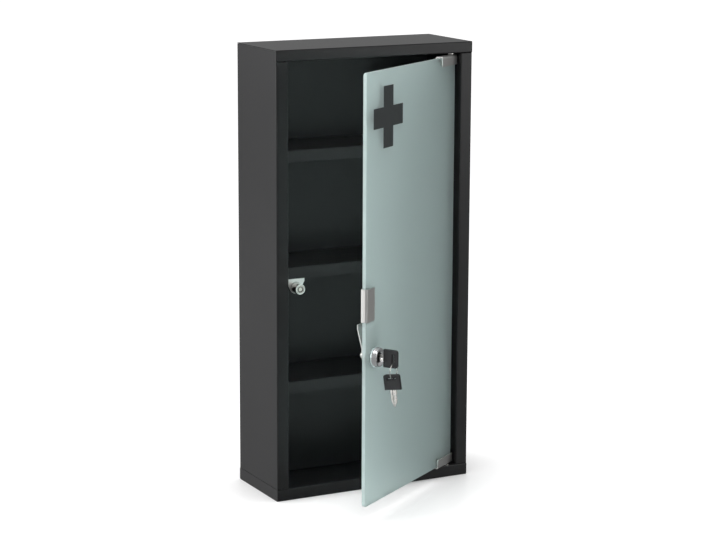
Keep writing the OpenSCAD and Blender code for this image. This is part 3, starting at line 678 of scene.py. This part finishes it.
# A turned shape: points of radius and height, round the Z axis, closed on itself or on the axis
def turned(name, profile, steps=72):
    onAxis = profile[0][0] == 0 and profile[-1][0] == 0
    points, faces, rows = [], [], []
    for radius, height in profile:
        if radius == 0:
            rows.append([len(points)])
            points.append((0, 0, height))
        else:
            rows.append(list(range(len(points), len(points) + steps)))
            turns = [2 * math.pi * k / steps for k in range(steps)]
            points += [(radius * math.cos(t), radius * math.sin(t), height) for t in turns]
    pairs = list(zip(rows, rows[1:]))
    if not onAxis:
        pairs.append((rows[-1], rows[0]))
    for low, high in pairs:
        for k in range(steps):
            corner = [low[k % len(low)], low[(k + 1) % len(low)],
                      high[(k + 1) % len(high)], high[k % len(high)]]
            faces.append(tuple(dict.fromkeys(corner)))
    return closeUp(pieceFrom(name, points, faces))


# The tree winds a wire round the Z axis, beside a core that it leaves as it is
def windingTree(pointsPerTurn=64):
    tree = bpy.data.node_groups.new("woundWire", "GeometryNodeTree")
    face = tree.interface
    for label, kind in (("Core", "Geometry"), ("Radius", "Float"), ("Pitch", "Float"),
                        ("Turns", "Float"), ("Wire Radius", "Float"), ("Start", "Float"),
                        ("Wire Sides", "Int"), ("Finish", "Material")):
        face.new_socket(label, in_out="INPUT", socket_type="NodeSocket" + kind)
    face.new_socket("Wound", in_out="OUTPUT", socket_type="NodeSocketGeometry")
    given = tree.nodes.new("NodeGroupInput").outputs
    rise = addNode(tree, "ShaderNodeMath", {0: given["Pitch"], 1: given["Turns"]},
                   operation="MULTIPLY")
    helix = addNode(tree, "GeometryNodeCurveSpiral",
                    {"Resolution": pointsPerTurn, "Rotations": given["Turns"],
                     "Start Radius": given["Radius"], "End Radius": given["Radius"],
                     "Height": rise.outputs[0]})
    section = addNode(tree, "GeometryNodeCurvePrimitiveCircle",
                      {"Resolution": given["Wire Sides"], "Radius": given["Wire Radius"]},
                      mode="RADIUS")
    level = addNode(tree, "GeometryNodeSetCurveNormal", {"Curve": helix.outputs[0]}, mode="Z_UP")
    wire = addNode(tree, "GeometryNodeCurveToMesh",
                   {"Curve": level.outputs[0], "Profile Curve": section.outputs[0],
                    "Fill Caps": True})
    shift = addNode(tree, "ShaderNodeCombineXYZ", {"Z": given["Start"]})
    moved = addNode(tree, "GeometryNodeTransform",
                    {"Geometry": wire.outputs[0], "Translation": shift.outputs[0]})
    both = addNode(tree, "GeometryNodeJoinGeometry")
    tree.links.new(given["Core"], both.inputs[0])
    tree.links.new(moved.outputs[0], both.inputs[0])
    real = addNode(tree, "GeometryNodeRealizeInstances", {"Geometry": both.outputs[0]})
    coated = addNode(tree, "GeometryNodeSetMaterial",
                     {"Geometry": real.outputs[0], "Material": given["Finish"]})
    out = tree.nodes.new("NodeGroupOutput")
    tree.links.new(coated.outputs[0], out.inputs["Wound"])
    return tree


woundWire = windingTree()

# What is drawn on the closed door is turned to the angle at which the door stands
doorPlace = (Matrix.Translation((pivotX, glassMid, 0))
             @ Matrix.Rotation(math.radians(door["restAngle"]), 4, "Z")
             @ Matrix.Translation((-pivotX, -glassMid, 0)))


# A face attribute that is 1 on the broad faces, which look along the door's thickness, and 0 on
# the others, or the other way round where broad is False
def markFaces(piece, label, flatness, broad):
    outwards = (doorPlace.to_3x3() @ Vector((0, -1, 0))).normalized()
    mark = piece.data.attributes.new(label, "FLOAT", "FACE")
    for face in piece.data.polygons:
        isBroad = abs(face.normal.dot(outwards)) > flatness
        mark.data[face.index].value = float(isBroad == broad)


pane = {"edgeRound": 0.7, "flatness": 0.95}


# The pane's two faces are etched, and its edges are ground smooth and polished
def makeGlassPane():
    glass = roundEdges(copyOf("glass_pane", "glassPane"), pane["edgeRound"], fineRound)
    markFaces(glass, "polished", pane["flatness"], False)
    settle(glass, "door", frostedGlass, "glass_pane")


makeGlassPane()
dress("cross_print", "crossPrint", "door", greyPrint, 0)

clamps = {"length": 43, "leg": 11.5, "thickness": 1.8, "bendRadius": 1, "pad": 1.2,
          "edgeRound": 0.3, "pinHole": 5.1, "grubHole": 4.1, "grubHoleSides": 32}


# Drawn as the upper clamp, with the edge of the glass at 0, and turned over for the lower one
def makeClamp(name, node, upper):
    leg, thickness = clamps["leg"], clamps["thickness"]
    middle = door["glass"] / 2 + clamps["pad"] + thickness / 2
    path = [(-middle, -leg), (-middle, thickness / 2), (middle, thickness / 2), (middle, -leg)]
    clamp = fold(name, "X", path, glassRight - clamps["length"], glassRight, thickness,
                 clamps["bendRadius"], satinSteel)
    grubX = glassRight - clamps["length"] / 2
    combine(clamp, [rod((pivotX, 0, 0), (0, 0, 1), clamps["pinHole"] / 2, -overcut,
                        thickness + overcut),
                    rod((grubX, middle, -leg / 2), (0, 1, 0), clamps["grubHole"] / 2,
                        -thickness, thickness, clamps["grubHoleSides"])])
    roundEdges(clamp, clamps["edgeRound"], fineRound)
    if upper:
        clamp.data.transform(Matrix.Translation((0, glassMid, glassHigh)))
    else:
        clamp.data.transform(Matrix.Translation((0, glassMid, glassLow))
                             @ Matrix.Scale(-1, 4, (0, 0, 1)))
        clamp.data.flip_normals()
    settle(clamp, "door", satinSteel, node, doorPlace)


hingeEdges = {"pads": 0.2, "pin": 0.25, "bush": 0.2, "grubScrews": 0.15}

makeClamp("upperHingeClamp", "upper_hinge_clamp", True)
makeClamp("lowerHingeClamp", "lower_hinge_clamp", False)
for level in ("upper", "lower"):
    dress(level + "_hinge_pads", level + "HingePads", "door", clearPad,
          hingeEdges["pads"])
    dress(level + "_pivot_pin", level + "PivotPin", "door", nickelPlate,
          hingeEdges["pin"], fineRound)
    dress(level + "_pivot_bush", level + "PivotBush", "cabinet", nickelPlate,
          hingeEdges["bush"], fineRound)
dress("hinge_grub_screws", "hingeGrubScrews", "door", blackScrewAndKeyholeShade,
      hingeEdges["grubScrews"])

handle = {"height": 43, "frontLeg": 20, "strikeLeg": 28, "thickness": 1.2, "bendRadius": 1.5,
          "tape": 1, "tapeRound": 0.15, "webGap": 0.6, "edgeRound": 0.25, "middle": 285.5}


def makeHandleClip():
    thickness, half = handle["thickness"], handle["height"] / 2
    middle = door["glass"] / 2 + handle["tape"] + thickness / 2
    web = glassLeft - handle["webGap"] - thickness / 2
    path = [(glassLeft + handle["frontLeg"], glassMid - middle), (web, glassMid - middle),
            (web, glassMid + middle), (glassLeft + handle["strikeLeg"], glassMid + middle)]
    clip = fold("handleClip", "Z", path, handle["middle"] - half, handle["middle"] + half,
                thickness, handle["bendRadius"], satinSteel)
    roundEdges(clip, handle["edgeRound"], fineRound)
    settle(clip, "door", satinSteel, "handle_clip", doorPlace)


makeHandleClip()
dress("handle_pads", "handlePads", "door", foamTape, handle["tapeRound"])
print("glass, hinges and handle made")

catchEdges = {"bracket": 0.25, "cup": 0.3, "nut": 0.2}

dress("catch_bracket", "catchBracket", "cabinet", zincPlate,
      catchEdges["bracket"], fineRound)
dress("catch_cup", "catchCup", "cabinet", nickelPlate, catchEdges["cup"],
      fineRound)
dress("catch_nut", "catchNut", "cabinet", zincPlate, catchEdges["nut"])

# Heights run forwards from the bracket. The groove leaves a raised middle in the magnet's face.
magnet = {"fromEdge": 19, "z": 283, "bracketY": -35, "radius": 5.25, "foot": 9.5, "face": 14.25,
          "round": 0.25, "grooveInner": 2.7, "grooveOuter": 4.2, "grooveDepth": 1.6}


def makeMagnet():
    radius, foot, face, edge = (magnet[k] for k in ("radius", "foot", "face", "round"))
    inner, outer = magnet["grooveInner"], magnet["grooveOuter"]
    deep = face - magnet["grooveDepth"]
    profile = [(0, foot), (radius, foot), (radius, face - edge), (radius - edge, face),
               (outer, face), (outer, deep), (inner, deep), (inner, face - edge),
               (inner - edge, face), (0, face)]
    place = (Matrix.Translation((glassLeft + magnet["fromEdge"], magnet["bracketY"],
                                 magnet["z"]))
             @ Matrix.Rotation(math.radians(90), 4, "X"))
    settle(turned("catchMagnet", profile), "cabinet", sinteredMagnet,
           "catch_magnet", place)


makeMagnet()

# Heights run outwards from the front of the glass. Above the shoulder the lock narrows to its
# face, and a higher flare keeps it wide for longer.
lock = {"fromEdge": 24, "z": 215, "bore": 7.05, "barrel": 9, "barrelEnd": -13.8, "seat": 0.8,
        "head": 14.5, "shoulder": 2.4, "face": 12.4, "faceHeight": 8.8, "faceRound": 1.2,
        "flare": 1.6, "curveSteps": 8, "sides": 96, "chamfer": 0.4, "rimSlope": 3,
        "rimDepth": 2.4, "threadDepth": 0.45, "threadPitch": 1.0, "threadTurns": 12,
        "threadStart": -13.2, "threadSides": 4}
lockEdges = {"gaskets": 0.15, "nut": 0.3, "plug": 0.12, "wafers": 0.08, "washer": 0.1,
             "screw": 0.2}


def onLock(height=0):
    return (doorPlace
            @ Matrix.Translation((glassLeft + lock["fromEdge"], glassFront - height, lock["z"]))
            @ Matrix.Rotation(math.radians(90), 4, "X"))


def makeLockHousing():
    bore, head, face, top = (lock[k] for k in ("bore", "head", "face", "faceHeight"))
    foot, seat, cut = lock["barrelEnd"], lock["seat"], lock["chamfer"]
    core = lock["barrel"] - lock["threadDepth"]
    bend, shoulder, steps = lock["faceRound"], lock["shoulder"], lock["curveSteps"]
    profile = [(bore, foot), (core - cut, foot), (core, foot + cut), (core, seat),
               (head - cut, seat), (head, seat + cut), (head, shoulder)]
    for k in range(1, steps + 1):
        share = k / steps
        profile.append((head - (head - face) * share ** lock["flare"],
                        shoulder + (top - bend - shoulder) * share))
    for k in range(1, steps + 1):
        turn = math.pi / 2 * k / steps
        profile.append((face - bend + bend * math.cos(turn), top - bend + bend * math.sin(turn)))
    profile += [(bore + lock["rimSlope"], top), (bore, top - lock["rimDepth"])]
    body = turned("lockHousing", profile, lock["sides"])
    useTree(body, woundWire, {"Radius": core, "Pitch": lock["threadPitch"],
                              "Turns": lock["threadTurns"], "Wire Radius": lock["threadDepth"],
                              "Start": lock["threadStart"], "Wire Sides": lock["threadSides"],
                              "Finish": chromePlate})
    settle(body, "door", chromePlate, "lock_housing", onLock())


makeLockHousing()
dress("lock_gaskets", "lockGaskets", "door", blackRubber, lockEdges["gaskets"])
dress("lock_nut", "lockNut", "door", nickelPlate, lockEdges["nut"])
# The plug's near-black finish is painted shade: it stands in for the shade inside the keyhole
dress("lock_plug", "lockPlug", "lock_core", blackScrewAndKeyholeShade, lockEdges["plug"])
dress("lock_wafers", "lockWafers", "lock_core", waferBrass, lockEdges["wafers"])

cam = {"edgeRound": 0.25, "flatness": 0.95}


# The cam is stamped from plate, so its faces across the lock's axis are its broad ones
def makeCam():
    stamping = roundEdges(copyOf("lock_cam", "lockCam"), cam["edgeRound"], fineRound)
    # The broad faces get the painted shade of the stamped zinc finish
    markFaces(stamping, "broad", cam["flatness"], True)
    settle(stamping, "lock_core", stampedZinc, "lock_cam")


makeCam()
dress("cam_washer", "camWasher", "lock_core", zincPlate, lockEdges["washer"])
dress("cam_screw", "camScrew", "lock_core", zincPlate, lockEdges["screw"])

# A key lies flat before it is placed: its blade points to -X and its thickness runs along Z.
# Each key's linings are given by where they begin and end along it.
keys = {"shoulder": 13.8, "slotAt": 14, "halfThickness": 1, "grooveFrom": (-2, -2.3),
        "grooveTo": (-21, 0.3), "grooveWide": 0.9, "grooveNarrow": 0.5, "grooveDepth": 0.55,
        "grooveOvercut": 0.5, "edgeRound": 0.12, "headRound": 0.2, "tilt": 8.5, "offset": 2.3,
        "wireAt": 14.498, "slotHalf": 6.4, "slotHalfDepth": 1.2, "liningMost": 1.9,
        "liningRoot": 0.2,
        "linings": {1: ((12.5, 13.1), (14.9, 15.5)), 2: ((12.5, 13.8), (15.06, 15.5))}}
ring = {"middle": -15.21, "hangRadius": 10, "radius": 10.2, "wire": 0.3, "pitch": 0.58,
        "turns": 2, "sides": 12}


def quarter(axis, degrees=-90):
    return Matrix.Rotation(math.radians(degrees), 4, axis)


# Key 1 is in the lock, and key 2 hangs from the ring, a little askew
keyPlaces = {1: onLock(keys["shoulder"]) @ quarter("Y"),
             2: (onLock(keys["shoulder"] + keys["slotAt"])
                 @ Matrix.Translation((0, ring["middle"] - ring["hangRadius"], 0))
                 @ quarter("X", -90 - keys["tilt"]) @ quarter("Y")
                 @ Matrix.Translation((-keys["wireAt"], keys["offset"], 0)))}


# A second groove along each face of the blade, which narrows towards the tip
def makeBlade(number):
    node = "key_%d_blade" % number
    blade = copyOf(node, "key%dBlade" % number)
    (x0, y0), (x1, y1) = keys["grooveFrom"], keys["grooveTo"]
    wide, narrow = keys["grooveWide"] / 2, keys["grooveNarrow"] / 2
    cutters = []
    for side in (-1, 1):
        depths = sorted((side * (keys["halfThickness"] - keys["grooveDepth"]),
                         side * (keys["halfThickness"] + keys["grooveOvercut"])))
        points = [(x, y, z) for x, middle, half in ((x0, y0, wide), (x1, y1, narrow))
                  for y in (middle - half, middle + half) for z in depths]
        faces = block((0, 0, 0), (1, 1, 1))[1]
        cutters.append(([keyPlaces[number] @ Vector(point) for point in points], faces))
    combine(blade, cutters)
    roundEdges(blade, keys["edgeRound"])
    settle(blade, "key_%d" % number, keyNickel, node)


# Thin linings on the two sides of the slot make it narrower. Each has its root in the head.
def makeKeyHead(number):
    node = "key_%d_head" % number
    head = copyOf(node, "key%dHead" % number)
    bars = []
    for low, high in keys["linings"][number]:
        half = min(keys["slotHalfDepth"] + high - low, keys["liningMost"])
        start, end = low, high
        if low < keys["slotAt"]:
            start -= keys["liningRoot"]
        else:
            end += keys["liningRoot"]
        points, faces = block((start, -keys["slotHalf"], -half), (end, keys["slotHalf"], half))
        bars.append(([keyPlaces[number] @ Vector(point) for point in points], faces))
    combine(head, bars, "UNION")
    roundEdges(head, keys["headRound"])
    settle(head, "key_%d" % number, keyPlastic, node)


def makeKeyRing():
    wound = pieceFrom("keyRing", [], [])
    useTree(wound, woundWire, {"Radius": ring["radius"], "Pitch": ring["pitch"],
                               "Turns": ring["turns"], "Wire Radius": ring["wire"],
                               "Start": -ring["pitch"] * ring["turns"] / 2,
                               "Wire Sides": ring["sides"], "Finish": nickelPlate})
    place = (onLock(keys["shoulder"] + keys["slotAt"])
             @ Matrix.Translation((0, ring["middle"], 0)))
    settle(wound, "key_loop", nickelPlate, "key_ring", place)


makeBlade(1)
makeBlade(2)
makeKeyRing()
makeKeyHead(1)
makeKeyHead(2)
print("catch, lock and keys made")

# The floor's shade reaches floorShade millimetres. Each lamp has its place, the point it faces,
# its width and height, all in metres, and its watts.
studio = {"floorColour": (0.42, 0.42, 0.42), "floorRoughness": 0.3, "floorGloss": 0.35,
          "floorLift": 0.95, "floorShade": 120, "shadeSamples": 16, "floorSize": 30,
          "worldLight": 0.12, "worldShine": 0.38, "white": (1, 1, 1, 1),
          "lamps": {
              "leftLamp": ((-2.0, 0.85, 1.25), (-0.1, -0.15, 0.35), 2.6, 2.2, 70),
              "edgeLamp": ((-2.0, -0.15, 0.35), (0, -0.15, 0.3), 0.5, 0.8, 2.5),
              "rightLamp": ((1.5, -2.0, 0.7), (0, 0, 0.35), 0.8, 1.2, 8.5),
              "frontLamp": ((-0.3, -0.9, 1.5), (0, 0, 0.45), 0.6, 0.4, 3),
              "overheadLamp": ((-0.3, -0.5, 2.4), (0, 0, 0.3), 1.8, 1.8, 3),
          }}


# 1 where a camera or a see-through surface looks, and 0 for light on the object and reflections
def seenDirectly(tree):
    path = addNode(tree, "ShaderNodeLightPath").outputs
    return addNode(tree, "ShaderNodeMath",
                   {0: path["Is Camera Ray"], 1: path["Is Transmission Ray"]},
                   operation="MAXIMUM").outputs[0]


def addFloor(look):
    half = look["floorSize"] / 2
    ground = pieceFrom("floor", [(-half, -half, 0), (half, -half, 0), (half, half, 0),
                                 (-half, half, 0)], [(0, 1, 2, 3)])
    finish, tree, shader = newFinish("studioFloor", look["floorColour"],
                                     roughness=look["floorRoughness"],
                                     more={"Specular IOR Level": look["floorGloss"]})
    shader.inputs["Emission Color"].default_value = look["white"]
    exposed = addNode(tree, "ShaderNodeAmbientOcclusion",
                      {"Distance": look["floorShade"] / perMetre}, samples=look["shadeSamples"])
    shaded = addNode(tree, "ShaderNodeMath", {0: exposed.outputs["AO"], 1: look["floorLift"]},
                     operation="MULTIPLY")
    lift = addNode(tree, "ShaderNodeMath", {0: seenDirectly(tree), 1: shaded.outputs[0]},
                   operation="MULTIPLY")
    tree.links.new(lift.outputs[0], shader.inputs["Emission Strength"])
    ground.data.materials.append(finish)


def addWorld(look):
    world = bpy.data.worlds.new("studio")
    bpy.context.scene.world = world
    world.use_nodes = True
    tree = world.node_tree
    mirrored = addNode(tree, "ShaderNodeLightPath").outputs["Is Glossy Ray"]
    plain = addNode(tree, "ShaderNodeMapRange", {"Value": mirrored, "To Min": look["worldLight"],
                                                 "To Max": look["worldShine"]})
    level = addNode(tree, "ShaderNodeMapRange",
                    {"Value": seenDirectly(tree), "To Min": plain.outputs[0], "To Max": 1.0})
    background = tree.nodes["Background"]
    background.inputs["Color"].default_value = look["white"]
    tree.links.new(level.outputs["Result"], background.inputs["Strength"])


def addLamps(look):
    for name, (place, aim, width, height, watts) in look["lamps"].items():
        light = bpy.data.lights.new(name, "AREA")
        light.shape, light.size, light.size_y, light.energy = "RECTANGLE", width, height, watts
        lamp = bpy.data.objects.new(name, light)
        facing = (Vector(aim) - Vector(place)).to_track_quat("-Z", "Y").to_matrix().to_4x4()
        lamp.matrix_world = Matrix.Translation(place) @ facing
        bpy.context.scene.collection.objects.link(lamp)


addFloor(studio)
addWorld(studio)
addLamps(studio)
bpy.context.scene.view_settings.view_transform = "Standard"
print("floor, world and lamps set")
